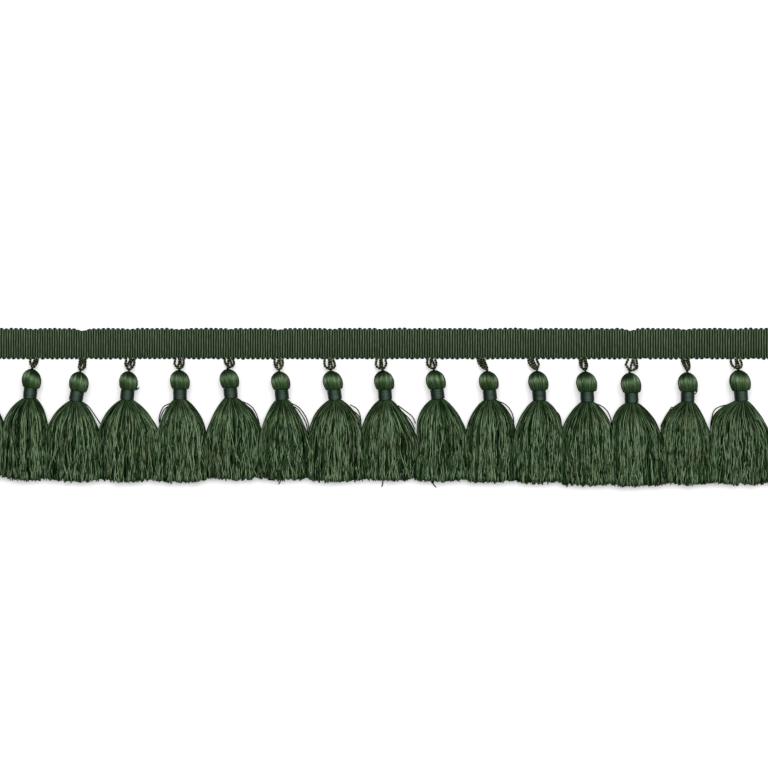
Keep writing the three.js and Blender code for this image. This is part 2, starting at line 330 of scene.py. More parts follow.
def yarn_finish(name, lit_and_shaded_colours, worn, gloss, streaks, grain, patch):
    """Dyed yarn with its light painted in: three colours of the yarn, from painted deep shade
    through half light to painted highlight, are mixed by `shade` times `tone`.

    worn is the dye that shows in patches and patch the share it may take, gloss the shader's
    own constants, and streaks and grain how strongly and how often, to a millimetre, the
    painted light changes along each yarn.
    """
    material = bpy.data.materials.new(name)
    material.use_nodes = True
    links = material.node_tree.links
    shader = material.node_tree.nodes["Principled BSDF"]
    for socket, value in gloss.items():
        shader.inputs[socket].default_value = value

    shade = new_node(material, "ShaderNodeAttribute", attribute_name="shade")
    tone = new_node(material, "ShaderNodeAttribute", attribute_name="tone")
    toned = new_node(material, "ShaderNodeMath", operation="MULTIPLY")
    links.new(shade.outputs["Fac"], toned.inputs[0])
    links.new(tone.outputs["Fac"], toned.inputs[1])
    run = new_node(material, "ShaderNodeAttribute", attribute_name="run")
    streak = new_node(material, "ShaderNodeTexNoise", In_Scale=grain, In_Detail=3)
    links.new(run.outputs["Vector"], streak.inputs["Vector"])
    span = new_node(material, "ShaderNodeMapRange", In_From_Min=0.32, In_From_Max=0.68,
                    In_To_Min=1 - streaks, In_To_Max=1 + streaks)
    links.new(streak.outputs["Fac"], span.inputs["Value"])
    streaked = new_node(material, "ShaderNodeMath", operation="MULTIPLY")
    links.new(toned.outputs["Value"], streaked.inputs[0])
    links.new(span.outputs["Result"], streaked.inputs[1])
    # A ramp of the yarn's colour at three levels of painted light: deep shade, half light,
    # highlight.
    lit_and_shaded_ramp = new_node(material, "ShaderNodeValToRGB")
    lit_and_shaded_ramp.color_ramp.elements.new(0.2)
    for element, colour in zip(lit_and_shaded_ramp.color_ramp.elements, lit_and_shaded_colours):
        element.color = (*colour, 1)
    links.new(streaked.outputs["Value"], lit_and_shaded_ramp.inputs["Fac"])

    place = new_node(material, "ShaderNodeTexCoord")
    cloud = new_node(material, "ShaderNodeTexNoise", In_Scale=110, In_Detail=2)
    links.new(place.outputs["Object"], cloud.inputs["Vector"])
    cover = new_node(material, "ShaderNodeMapRange", In_From_Min=0.48, In_From_Max=0.68,
                     In_To_Max=patch)
    links.new(cloud.outputs["Fac"], cover.inputs["Value"])
    patched = new_node(material, "ShaderNodeMix", data_type="RGBA", blend_type="MULTIPLY",
                       In_B=(*worn, 1))
    links.new(cover.outputs["Result"], patched.inputs["Factor"])
    links.new(lit_and_shaded_ramp.outputs["Color"], patched.inputs["A"])
    links.new(patched.outputs["Result"], shader.inputs["Base Color"])

    across = new_node(material, "ShaderNodeAttribute", attribute_name="across")
    links.new(across.outputs["Vector"], shader.inputs["Tangent"])
    fibre = new_node(material, "ShaderNodeTexNoise", In_Scale=3.0, In_Detail=2)
    links.new(run.outputs["Vector"], fibre.inputs["Vector"])
    bump = new_node(material, "ShaderNodeBump", In_Strength=0.6, In_Distance=0.06 * MM)
    links.new(fibre.outputs["Fac"], bump.inputs["Height"])
    links.new(bump.outputs["Normal"], shader.inputs["Normal"])
    return material


print("a finish reads shade, tone, run and across")

# %% The four finishes
# Each finish gives its yarn's colour at three levels of painted light: deep shade, half light and
# highlight.
SILK = yarn_finish(
    "silk_yarn", lit_and_shaded_colours=[(0.001, 0.011, 0.0003), (0.037, 0.075, 0.028), (0.220, 0.312, 0.182)],
    worn=(0.8, 0.68, 0.6),
    gloss={"Roughness": 0.38, "Anisotropic": 0.85, "Specular IOR Level": 0.07,
           "Specular Tint": (0.85, 1.0, 0.78, 1)},
    streaks=0.8, grain=0.22, patch=0.6)
GROSGRAIN = yarn_finish(
    "grosgrain", lit_and_shaded_colours=[(0.002, 0.011, 0.001), (0.028, 0.046, 0.023), (0.148, 0.193, 0.122)],
    worn=(0.85, 0.8, 0.7),
    gloss={"Roughness": 0.8, "Specular IOR Level": 0.03},
    streaks=0.2, grain=0.45, patch=0.35)
BINDING = yarn_finish(
    "binding_thread", lit_and_shaded_colours=[(0.002, 0.006, 0.003), (0.024, 0.041, 0.030), (0.120, 0.187, 0.145)],
    worn=(0.9, 0.9, 0.9),
    gloss={"Roughness": 0.4, "Anisotropic": 0.8, "Specular IOR Level": 0.06,
           "Specular Tint": (0.85, 1.0, 0.95, 1)},
    streaks=0.2, grain=0.45, patch=0.3)
CORD = yarn_finish(
    "loop_cord", lit_and_shaded_colours=[(0.002, 0.005, 0.001), (0.024, 0.035, 0.014), (0.250, 0.290, 0.170)],
    worn=(0.8, 0.8, 0.8),
    gloss={"Roughness": 0.5, "Specular IOR Level": 0.03},
    streaks=0.4, grain=0.45, patch=0.3)
for material in (SILK, GROSGRAIN, BINDING, CORD):
    print("finish", material.name)


def dress(piece, node, material):
    """Gives a piece its finish, lets it ride with the trim and stand for its solid."""
    piece.data.materials.append(material)
    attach(piece, "root")
    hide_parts(node)
    return piece


# %% [markdown]
# ## The header tape
#
# On the real tape one thick weft runs to and fro across it, and each pass makes a rib. It turns
# back over one groove at the upper edge and over the next groove at the lower edge, so it
# draws two rows of small scallops that are staggered. Two ribs and one scallop make a unit.
# Where a loop is sewn on, its stitches draw the edge in.
#
# It could be a plain slab with a bump map, but the scallops and ribs show in outline and from
# the side, so they are built: one grid runs along the tape and round its section.

# %% The tape's edges
SAMPLES_A_UNIT = 12
EDGE_SCATTER = 0.12  # how unevenly the weft turns back at the edges


def along_tape(units):
    """x where the given number of units ends.

    With u for the share of the length, the count is TAPE_UNITS u + CROWDING u (1 - u), and
    this is its inverse.
    """
    both = TAPE_UNITS + CROWDING
    u = (both - np.sqrt(both**2 - 4 * CROWDING * units)) / (2 * CROWDING)
    return (u - 0.5) * TAPE_LENGTH


def scallop_depth(share):
    """How far an edge lies inside the scallops' tips: a row of half rounds, tip at 0.5."""
    off = 2 * (share % 1) - 1
    return SCALLOP * (1 - np.sqrt(np.maximum(0, 1 - np.abs(off) ** 1.8)))


def pinch(x):
    """How far the loops' stitches draw in the edge at x: a soft dip round each loop."""
    dips = [row["pinch"] * np.exp(-(((x - row["loop"]) / PINCH_REACH) ** 2)) for row in TASSELS]
    return np.sum(dips, axis=0)


def tape_edges(stations, x, scatter):
    """y of the lower and the upper edge: half the width, less the scallops and the pinches.

    The lower edge's scallops lie half a unit further on. Where the upper edge is drawn in, its
    scallops are flatter and the lower edge follows it a little.
    """
    share = stations % 1
    drawn = pinch(x)
    fading = 1 - 0.6 * np.minimum(1, drawn)
    upper_turn = scatter[0][np.floor(stations).astype(int)] * np.sin(np.pi * share)
    lower_turn = scatter[1][np.round(stations).astype(int)] * np.abs(np.cos(np.pi * share))
    upper = TAPE_WIDTH / 2 - scallop_depth(share) * fading - drawn + upper_turn
    lower = -TAPE_WIDTH / 2 + scallop_depth(share + 0.5) + 0.3 * drawn + lower_turn
    return lower, upper


print("scallops: one every", round(TAPE_LENGTH / TAPE_UNITS, 2), "mm at each edge")

# %% The tape's skin
FACE_POINTS = 15
BACK_POINTS = 5
GROOVE = 0.55  # depth of the groove between two ribs
BOW = 2.2
EDGE_TURN = 1.0  # width of the band at each edge where the weft turns over and under
EDGE_HEIGHT = 0.3  # about where the face ends above the back
EDGE_CROWD = 0.47 * np.pi
# The crests' painted light, dimmer towards the lower edge where the loops are.
CREST_LIGHT = [[-7.5, 0.72], [-3, 0.85], [3, 1.0]]  # y across the tape, and the light there


def tape_face(stations, lower, upper, y):
    """z of the face at y, the distance from the rib's middle, and how far the weft has turned.

    Each rib is a bowed strip: the face falls with the distance from the rib's middle to the
    power BOW, down to the grooves at both its sides. In the band along each edge it rounds
    down to the edge, and there each turn of the weft bridges a groove.
    """
    share = stations % 1
    off = np.abs(2 * (2 * share % 1) - 1)[:, None]
    turn_up = np.clip(1 - (upper[:, None] - y) / EDGE_TURN, 0, 1)
    turn_down = np.clip(1 - (y - lower[:, None]) / EDGE_TURN, 0, 1)
    over = turn_up * np.sin(np.pi * share)[:, None]
    over = over + turn_down * np.abs(np.cos(np.pi * share))[:, None]
    depth = GROOVE * off**BOW * (1 - 0.7 * np.clip(over, 0, 1))
    turn = np.maximum(turn_up, turn_down)
    z = EDGE_HEIGHT + (TAPE_THICK - depth - EDGE_HEIGHT) * np.sqrt(1 - 0.96 * turn**2)
    return z, off, turn


def header_tape():
    """The tape's skin: rows of section points, one row at each station along x."""
    rng = np.random.default_rng(11)
    stations = np.linspace(0, TAPE_UNITS, TAPE_UNITS * SAMPLES_A_UNIT + 1)
    x = along_tape(stations)
    lower, upper = tape_edges(stations, x, rng.normal(0, EDGE_SCATTER, (2, TAPE_UNITS + 1)))
    middle, half = (lower + upper)[:, None] / 2, (upper - lower)[:, None] / 2

    # The face's points crowd towards the edges, where the section turns down.
    crowded = np.sin(np.linspace(-EDGE_CROWD, EDGE_CROWD, FACE_POINTS)) / np.sin(EDGE_CROWD)
    face_y = middle + half * crowded
    face_z, off, turn = tape_face(stations, lower, upper, face_y)
    back_y = middle + half * np.linspace(0.97, -0.97, BACK_POINTS)
    y = np.concatenate([face_y, back_y], 1)
    z = np.concatenate([face_z, np.zeros_like(back_y)], 1)

    # Each rib wanders a little on its way across. The back and the two ends stay straight.
    nearest = np.round(stations * 2)[:, None]
    wander = 0.05 * np.sin(0.9 * y + 1.3 * nearest) + 0.05 * np.sin(0.37 * y + 2.1 * nearest)
    ends = np.minimum(1, np.minimum(x - x[0], x[-1] - x) / 2)[:, None]
    points = np.stack([x[:, None] + wander * ends * (z > 0.01), y, z], -1)

    # Painted light: the ribs' crests are painted light, a little less so towards the loops, and the
    # grooves and the turns at the edges are painted in shade.
    crest = np.clip((0.8 - off) / 0.65, 0, 1) ** 1.65 * by_table(face_y, CREST_LIGHT)
    shade = np.concatenate([crest * (1 - 0.9 * turn**1.5), np.full_like(back_y, 0.3)], 1)
    rib = np.floor(2 * stations)[:, None]
    rib_tone = rng.normal(0.8, 0.05, 2 * TAPE_UNITS + 1)[rib.astype(int)]
    run = np.stack([y, rib * 7.3 + 0 * y, 0 * y], -1)
    across = np.broadcast_to([1.0, 0.0, 0.0], points.shape)
    faces = [face[::-1] for face in tube_faces(1, len(x), y.shape[1])]
    return mesh_piece("tape_cloth", points, faces, shade=shade, tone=rib_tone + 0 * y,
                      run=run, across=across)


tape = dress(header_tape(), "tape", GROSGRAIN)
print("tape:", len(tape.data.vertices), "points")

# %% [markdown]
# ## Hanging loops
#
# Each tassel hangs on two bights of fine cord, so four strands leave the tape, draw together in
# a narrow neck and go into the hole at the top of the head. The cord is two yarns twisted
# together. A bevelled curve would show a smooth wire, so each strand is made of its two plies,
# and each ply is a tube that winds round the strand's path. The strands cross and bow
# differently in every loop, so each loop has a row of its own.

# %% How each loop hangs
# For the four strands from left to right, how far they lie from the loop's middle where they
# leave the tape, halfway down and low down.
LOOP_COLUMNS = "leave halfway low".split()
LOOPS = [dict(zip(LOOP_COLUMNS, row)) for row in [
    [(-2.1, -0.3, 0.4, 2.1), (-2.2, -0.3, 0.8, 2.4), (-1.4, -0.4, 1.1, 1.9)],
    [(-1.9, 0.4, 1.0, 1.8), (-1.75, -0.4, 0.7, 1.4), (-1.0, -0.3, 0.3, 0.65)],
    [(-1.5, -0.45, 0.4, 1.3), (-1.6, -0.6, 0.8, 1.3), (-1.8, -1.4, 0.4, 1.05)],
    [(-1.5, 0.5, 1.5, 2.55), (-1.8, -0.6, 0.75, 2.5), (-0.9, -0.7, 1.4, 1.8)],
    [(-1.75, 0.3, 0.9, 2.4), (-2.0, 0.1, 1.1, 2.45), (-1.05, -0.3, 1.5, 2.2)],
    [(-2.3, -0.4, 0.45, 1.95), (-1.8, -0.6, 1.0, 2.4), (-0.75, -0.5, 1.25, 1.8)],
    [(-1.8, 0.15, 0.75, 2.15), (-1.7, -0.6, 1.0, 2.3), (-1.0, -0.5, 1.5, 1.8)],
    [(-2.45, -0.2, 0.45, 1.9), (-2.45, -0.25, 1.0, 2.65), (-1.9, -0.3, 1.3, 2.6)],
    [(-2.05, -0.2, 0.45, 2.45), (-2.4, -0.2, 0.7, 2.75), (-1.8, -0.3, 0.85, 2.15)],
    [(-2.1, -0.5, 0.15, 1.9), (-2.2, -0.55, 1.1, 2.35), (-1.3, -0.8, 1.45, 1.95)],
    [(-1.75, -0.7, 0.45, 1.55), (-0.8, 0.2, 1.2, 2.25), (0.6, 1.0, 2.2, 3.0)],
    [(-2.45, -1.3, -0.2, 1.7), (-1.9, -0.5, 0.7, 2.55), (-0.6, 0.2, 1.45, 2.2)],
    [(-1.65, -0.7, 0.5, 1.3), (-1.6, -0.9, 1.1, 1.85), (-0.9, -0.75, 0.9, 1.7)],
    [(-1.4, 1.0, 1.3, 2.85), (-2.5, 0.0, 1.75, 3.05), (-1.5, -0.35, 2.25, 2.95)],
    [(-1.85, -0.85, 0.45, 1.45), (-1.1, -0.4, 1.15, 1.75), (-0.25, 0.15, 1.5, 1.7)],
    [(-2.65, -0.15, 0.35, 2.1), (-2.5, -0.3, 0.8, 2.6), (-1.7, -0.3, 1.1, 2.3)],
]]
STRAND_ARRIVES = [-0.15, -0.05, 0.05, 0.15]
STRAND_RIDES = [0.0, 0.55, 0.45, 0.1]  # how far each bows up over the others
STATIONS = [0, 0.12, 0.45, 0.67, 0.78, 0.84, 1]  # shares of the way down that give its path
RIDE_SHARES = [0, 0.6, 1, 1, 1, 0.8, 0.3]  # how much of its ride a strand has at each of them
HOLE_ASIDE = 0.3  # the hole at the top of a head lies this far to the left of its middle
print("strands in a loop:", len(STRAND_ARRIVES))

# %% Paths and plies
PLY_RADIUS = 0.35
PLY_OFFSET = 0.34  # of a ply's middle from the strand's path
TWIST_PITCH = 3.0
LOOP_POINTS = 26
PLY_SIDES = 6
THREAD_STEP = 37.0  # between neighbouring threads' numbers, so that their streaks differ


def smooth_path(stations, at, rows):
    """A curve through the stations, given at increasing shares `at`, sampled at `rows` shares.

    A cubic runs between each two stations. Its slope at a station is that of the parabola
    through the station and its two neighbours, so the curve has no kinks.
    """
    stations, at = np.asarray(stations, float), np.asarray(at, float)
    slopes = np.gradient(stations, at, axis=0, edge_order=1)
    share = np.linspace(at[0], at[-1], rows)
    k = np.clip(np.searchsorted(at, share, side="right") - 1, 0, len(at) - 2)
    span = (at[k + 1] - at[k])[:, None]
    t = (share - at[k])[:, None] / span
    start, end = stations[k], stations[k + 1]
    return (start * (1 + 2 * t) * (1 - t) ** 2 + end * t**2 * (3 - 2 * t)
            + span * (slopes[k] * t * (1 - t) ** 2 - slopes[k + 1] * t**2 * (1 - t)))


def length_along(paths):
    """Length run at each point of each path, from its start."""
    steps = np.linalg.norm(np.diff(paths, axis=1), axis=-1)
    return np.concatenate([np.zeros((len(paths), 1)), np.cumsum(steps, 1)], 1)


def twisted_plies(paths, rng):
    """Two plies round each path: path + offset (cos t side + sin t up), half a turn apart.

    Where the strands are drawn together above the head, the plies are pressed closer.
    """
    share = np.linspace(0, 1, paths.shape[1])
    offset = np.interp(share, [0.75, 0.85], [PLY_OFFSET, 0.5 * PLY_OFFSET])
    tangent = unit(np.gradient(paths, axis=1))
    side = unit(np.cross(tangent, UPWARD))
    up = np.cross(side, tangent)
    start = rng.random((len(paths), 1)) * 2 * np.pi
    plies = []
    for half_turn in (0, np.pi):
        turn = (length_along(paths) / TWIST_PITCH * 2 * np.pi + start + half_turn)[..., None]
        plies.append(paths + offset[:, None] * (np.cos(turn) * side + np.sin(turn) * up))
    return np.concatenate(plies)


def yarn_marks(paths, sides, numbers):
    """`run` for tubes: length along each yarn in millimetres, and the yarn's own number."""
    along = np.repeat(length_along(paths)[..., None], sides, 2)
    own = np.broadcast_to(np.asarray(numbers, float)[:, None, None], along.shape)
    return np.stack([along, own, np.zeros_like(along)], -1).reshape(-1, 3)


print("cord:", round(2 * (PLY_OFFSET + PLY_RADIUS), 2), "mm across its two plies")

# %% Make the loops
def strand_paths(row):
    """Paths of the four strands, from inside the tape's lower edge to the top of the head."""
    loop = LOOPS[row["number"] - 1]
    top = head_middle(row) + 0.96 * row["ball"]
    foot_x = row["neck"] - top * math.sin(lean(row)) - HOLE_ASIDE
    foot_y = row["foot"] + top * math.cos(lean(row))
    start_y = -TAPE_WIDTH / 2 + 0.3 * row["pinch"] + 0.4
    y = np.interp(STATIONS, [0, 1], [start_y, foot_y])
    level = np.interp(STATIONS, [0, 0.1, 1], [TAPE_THICK / 2, TAPE_THICK / 2, axis_height(row)])
    paths = []
    for k, (arrives, rides) in enumerate(zip(STRAND_ARRIVES, STRAND_RIDES)):
        aside = [loop["leave"][k], loop["leave"][k], loop["halfway"][k], 0.92 * loop["low"][k]]
        x = [row["loop"] + dx for dx in aside]
        x += [0.5 * (x[-1] + foot_x), foot_x + arrives, foot_x + arrives]
        z = level + rides * np.array(RIDE_SHARES)
        paths.append(smooth_path(np.stack([x, y, z], -1), STATIONS, LOOP_POINTS))
    return np.array(paths)


def hanging_loop(row):
    """The plies of the four strands of one loop. Only the upward crests of the twist are painted
    light; the rest is painted in shade.
    """
    rng = np.random.default_rng(200 + row["number"])
    paths = strand_paths(row)
    plies = twisted_plies(paths, rng)
    points, across = round_section(plies, PLY_RADIUS, PLY_SIDES)
    rise = points.reshape(len(plies), LOOP_POINTS, PLY_SIDES, 3)[..., 2]
    rise = (rise - np.tile(paths, (2, 1, 1))[:, :, None, 2]) / (PLY_OFFSET + PLY_RADIUS)
    shade = np.clip((rise - 0.55) / 0.45, 0, 1)
    tone = np.repeat(rng.normal(0.75, 0.15, len(plies)), LOOP_POINTS * PLY_SIDES)
    return mesh_piece(numbered("cord", row), points, tube_faces(len(plies), LOOP_POINTS, PLY_SIDES),
                      shade=shade, tone=tone, across=across,
                      run=yarn_marks(plies, PLY_SIDES, 11.0 * np.arange(len(plies))))


for row in TASSELS:
    dress(hanging_loop(row), numbered("loop", row), CORD)
strand_lengths = [length_along(strand_paths(row))[:, -1].mean() for row in TASSELS]
print("loops:", len(TASSELS), "with strands of", round(float(np.mean(strand_lengths)), 1), "mm")

# %% [markdown]
# ## Tassels
#
# A tassel is one hank of silky yarn. It is drawn down all round over a small round mould, tied
# under it, and its ends are cut level. Particle hair would give the look but no mesh to keep,
# so every yarn of the skirt is a slim tube.
#
# First comes the form of a whole skirt. A yarn has a place in the bundle, `across` from -1 to 1
# between the skirt's sides and `up` from -1 to 1 between floor and top. The form turns that
# place and the share `s` of the way down into a point, as it does in the solids.

# %% The skirt's form
SIDE_GAP = 0.1  # kept free at each side of a skirt, beside its neighbour
ROOT_RADIUS = 3.6
REACH = 1.12  # how much wider a skirt would be if its neighbours didn't stop it
SETTLED = 0.55  # share of the way down by which the bundle lies low


def skirt_side(row, side, s):
    """x of the skirt's side, from the neck's axis: root + (hem - root) reach.

    reach = REACH (1 - (1 - s)^(0.71 full)), until it comes to 1 where the skirts meet. Just
    below the binding the root itself spreads from the neck's radius.
    """
    left = side < 0
    hem = np.where(left, row["left"] + SIDE_GAP, row["right"] - SIDE_GAP) - row["neck"]
    full = np.where(left, row["full_l"], row["full_r"])
    root = np.where(left, -1, 1) * np.interp(s, [0, 0.02], [0.9 * NECK_RADIUS, ROOT_RADIUS])
    reach = REACH * (1 - (1 - np.clip(s, 0, 1)) ** (0.71 * full))
    return root + (hem - root) * np.minimum(1, reach)


def skirt_point(row, s, across, up):
    """A point of the skirt, from the foot of the neck.

    The yarn leaves the neck as a round bundle and settles into a low oblong:
    settled = 1 - (1 - s / SETTLED)^2.5, and what isn't settled rounds both directions off.
    """
    settled = 1 - (1 - np.clip(s / SETTLED, 0, 1)) ** 2.5
    rounding = 1 - settled
    side = np.abs(skirt_side(row, np.sign(across), s))
    middle = axis_height(row) + (SKIRT_HEIGHT / 2 - axis_height(row)) * settled
    x = side * across * np.sqrt(1 - rounding * up**2 / 2)
    y = (row["hem"] - row["foot"]) * s + HEM_ROUND * (s - 0.08) * across**2
    z = middle + SKIRT_HEIGHT / 2 * up * np.sqrt(1 - rounding * across**2 / 2)
    return np.stack([x, y, z], -1)


def soft_limit(value):
    """Keeps a value near -1 to 1 without a hard stop: 1.06 v / (1 + |v|^12)^(1/12)."""
    return 1.06 * value / (1 + np.abs(value) ** 12) ** (1 / 12)


print("skirts:", [round(row["right"] - row["left"], 1) for row in TASSELS], "mm wide")

# %% [markdown]
# ## The yarns of a skirt
#
# A skirt is mostly the yarn that shows: four layers on top, two rows down each side and one
# row underneath. The inside is filled with fewer, thicker yarns, so that no light comes through.
#
# Real yarns neither run parallel nor wave like hair. They stay fairly straight, cross at small
# angles and dive under each other, so each is seen only for a short run. That takes three
# things on the way down: a drift aside, some waves that mostly lift and lower the yarn, and
# locks that draw their yarns together and leave dark gaps.

# %% Places in the bundle
FACE_COLUMNS = 44
FACE_LAYERS = 4
CORE_COLUMNS = 28
CORE_LAYERS = 4
SIDE_YARNS = 9


def yarn_places(rng):
    """Places of the yarns in the bundle: those of the face first, then those of the core."""
    def rows(columns, heights, scatter):
        across = (np.arange(columns) + 0.5) * 2 / columns - 1
        across = across[None, :] + rng.uniform(-1, 1, (len(heights), columns)) / columns
        up = np.array(heights)[:, None] + rng.normal(0, scatter, across.shape)
        return np.stack([across.ravel(), up.ravel()], -1)

    top = rows(FACE_COLUMNS, 0.97 - 0.13 * np.arange(FACE_LAYERS), 0.05)
    under = rows(FACE_COLUMNS, [-0.93], 0.03)
    heights = np.linspace(-0.8, 0.8, SIDE_YARNS)
    sides = [[side * (0.985 - 0.05 * deep), up]
             for side in (-1, 1) for deep in (0, 1) for up in heights]
    core = rows(CORE_COLUMNS, np.linspace(-0.75, 0.4, CORE_LAYERS), 0.04) * [0.95, 1]
    return np.concatenate([top, under, sides]), core


print("face and core yarns:", [len(places) for places in yarn_places(np.random.default_rng(0))])

# %% The way down
LOCKS = 26
GATHER = 0.35  # how strongly the locks draw their yarns
DRIFT = 0.12
# Waves of a yarn on its way down: how far it sways aside and dives under its neighbours, as
# shares of the skirt's half width and half height, and the fewest and most waves.
WAVES = [
    [0.055, 0.16, 0.7, 1.7],
    [0.026, 0.24, 2.2, 4.2],
    [0.006, 0.08, 5.0, 7.0],
]
HEM_PLACES = 21  # places across the hem between which the cut wanders
SKIRT_START = -0.015  # the yarns begin a little above the foot of the neck


def way_aside(rng, across, up, free, nearest, loose):
    """Place across the bundle on the way down, and how far each yarn is lifted.

    place = across + gather + drift + waves. The gathering is strongest halfway down and only
    on top. Drift and waves grow with `free`, the share of the way down.
    """
    number = (len(across), 1)
    gather = GATHER * np.clip(up, 0, 1) ** 2 * np.sin(np.pi * np.clip(free * 1.1, 0, 1)) ** 1.2
    place = across + (nearest - across) * gather
    drift = DRIFT * np.clip(rng.standard_t(2.5, number), -6, 6)
    place = place + loose * drift * np.clip((free - 0.12) / 0.88, 0, 1) ** 1.3
    lift = 0 * free
    for sway, dive, fewest, most in WAVES:
        waves = rng.uniform(fewest, most, number)
        phase = 2 * np.pi * rng.random(number)
        sways = rng.normal(0, loose * sway, number) * free**0.6
        dives = rng.normal(0, loose * dive, number) * free**0.7
        place = place + sways * np.sin(2 * np.pi * waves * free + phase)
        lift = lift + dives * np.sin(2.6 * np.pi * waves * free + 2 * phase)
    return soft_limit(place), lift


def lay_yarns(row, rng, places, count, locks, loose):
    """Paths of yarns from the neck to the hem, with `count` points each.

    Also gives their place and height in the bundle, the share of the way down and the lock
    that each belongs to. The cut of the hem wanders a little and a few ends hang out of it.
    """
    across, up = places.T[:, :, None]
    up = np.clip(up, -1, 1) * np.sqrt(1 - 0.3 * across**4)
    free = np.linspace(0, 1, count)[None, :] ** 1.1
    lock = np.abs(across - locks[None, :]).argmin(1)
    place, lift = way_aside(rng, across, up, free, locks[lock][:, None], loose)
    height = soft_limit(up + lift)
    cut = np.interp(place[:, -1:], np.linspace(-1, 1, HEM_PLACES), rng.normal(0, 0.010, HEM_PLACES))
    trim = np.clip(0.012 + cut + 0.004 * rng.standard_t(2, (len(across), 1)), -0.016, 0.06)
    down = SKIRT_START + (1 - trim - SKIRT_START) * free
    return skirt_point(row, down, place, height), place, height, free, lock


print("locks:", LOCKS, "and waves a yarn:", len(WAVES))

# %% [markdown]
# ## Loose yarns and light
#
# A few single yarns have come loose at the shoulders and at the hem. They are what makes the
# outline look like yarn, so each is given as a path of a few points.
#
# About half of the yarns turn their sheen to the eye and the others don't, mostly by turns, so
# that a bright yarn lies beside a dark gap; that sheen is painted into their tone. Two short
# tables then paint the light and shade of the skirt on the way down and from side to side.

# %% Loose yarns
LOOSE_POINTS = 12
LOOSE_RADIUS = 0.33
# The tassel's number, how high the yarn starts and ends, and the places it passes.
LOOSE_YARNS = [
    [3, 4.5, 2.0, (-143.0, -29.6), (-140.6, -31.6), (-137.4, -36.2), (-134.4, -41.0)],
    [4, 4.5, 4.5, (-118.0, -22.7), (-116.6, -22.7), (-115.2, -22.1)],
    [4, 4.3, 4.3, (-118.0, -23.2), (-116.8, -23.1), (-115.7, -22.6)],
    [5, 4.5, 2.0, (-100.0, -30.0), (-103.4, -31.8), (-105.2, -36.0), (-105.4, -39.0),
     (-104.6, -42.0)],
    [5, 4.5, 2.0, (-99.6, -30.8), (-102.7, -32.8), (-104.5, -36.4), (-104.9, -39.4),
     (-104.2, -42.0)],
    [6, 5.0, 2.0, (-66.5, -27.9), (-60.0, -30.8), (-57.0, -34.8), (-55.2, -40.8), (-55.2, -46.0)],
    [6, 5.0, 2.0, (-66.0, -28.6), (-60.8, -31.6), (-57.8, -35.2), (-56.0, -41.0), (-55.6, -47.0)],
    [7, 4.5, 2.0, (-40.0, -29.6), (-36.0, -31.6), (-32.8, -35.4), (-30.9, -40.0), (-30.5, -46.0)],
    [7, 4.5, 2.0, (-40.0, -30.4), (-36.4, -32.6), (-33.8, -36.2), (-31.8, -40.4), (-31.0, -46.0)],
    [7, 2.0, 0.6, (-44.2, -66.0), (-45.0, -69.0), (-45.7, -70.4)],
    [8, 4.0, 2.0, (-10.0, -30.6), (-6.8, -32.4), (-5.2, -35.0), (-4.5, -39.0)],
    [8, 4.0, 2.0, (-11.0, -31.6), (-8.0, -33.9), (-5.4, -36.6), (-4.4, -41.0)],
    [9, 2.0, 0.6, (7.0, -66.0), (6.4, -69.5), (5.9, -71.8)],
    [9, 4.0, 2.0, (14.0, -31.0), (18.6, -34.4), (21.2, -36.6), (22.8, -40.0)],
    [9, 4.0, 2.0, (13.6, -32.0), (17.6, -35.6), (20.3, -38.6), (22.6, -43.0)],
    [10, 2.0, 0.6, (29.8, -66.0), (31.0, -69.4), (33.1, -72.0)],
    [11, 4.5, 2.0, (64.0, -28.8), (67.6, -30.4), (70.4, -33.6), (71.8, -37.6), (71.9, -43.0)],
    [12, 4.0, 2.0, (92.0, -33.0), (94.4, -35.4), (95.5, -38.6), (95.5, -43.0)],
    [13, 4.5, 2.0, (112.6, -30.0), (116.0, -31.4), (118.6, -33.8), (120.5, -38.0), (120.7, -43.0)],
    [13, 2.0, 0.6, (100.0, -67.0), (99.4, -69.6), (98.5, -71.9)],
    [15, 5.0, 5.0, (163.4, -22.6), (163.2, -24.2), (162.2, -25.4)],
    [15, 4.0, 2.0, (153.0, -33.4), (151.0, -31.8), (149.8, -33.4), (147.4, -37.2), (145.4, -41.6)],
    [16, 4.5, 2.0, (179.0, -30.6), (175.6, -31.3), (172.4, -33.0), (171.1, -36.4), (171.0, -41.0)],
    [16, 4.5, 2.0, (180.0, -31.8), (176.4, -33.4), (173.4, -35.4), (172.0, -37.8), (172.6, -40.6)],
]


def loose_paths(row):
    """Paths of this tassel's loose yarns, from the foot of its neck."""
    paths = []
    for number, high, low, *places in LOOSE_YARNS:
        if number == row["number"]:
            at = np.linspace(0, 1, len(places))
            flat = np.array(places) - [row["neck"], row["foot"]]
            stations = np.column_stack([flat, high + (low - high) * at])
            paths.append(smooth_path(stations, at, LOOSE_POINTS))
    return np.array(paths)


print("loose yarns:", len(LOOSE_YARNS))

# %% Yarns with their light
FACE_ROWS = 24
FACE_RADIUS = 0.28
CORE_ROWS = 9
CORE_RADIUS = 0.45
# Pairs of a share of the way down, or of the skirt's half width, and the painted light there.
LIGHT_DOWN = [[0, 0.2], [0.06, 0.42], [0.11, 0.42], [0.18, 0.68], [0.26, 1.05], [0.65, 1.05],
              [0.83, 0.9], [0.93, 1.1], [0.975, 1.1], [1, 0.5]]
LIGHT_ASIDE = [[-1, 0.6], [-0.6, 0.85], [0, 1], [0.8, 1.05], [1, 0.7]]
# Tones of lit and unlit yarns: the lit ones carry a painted sheen, the unlit ones are painted dark.
LIT_TONE, LIT_SPREAD = 0.85, 0.22
UNLIT_TONE, UNLIT_SPREAD = 0.13, 0.09


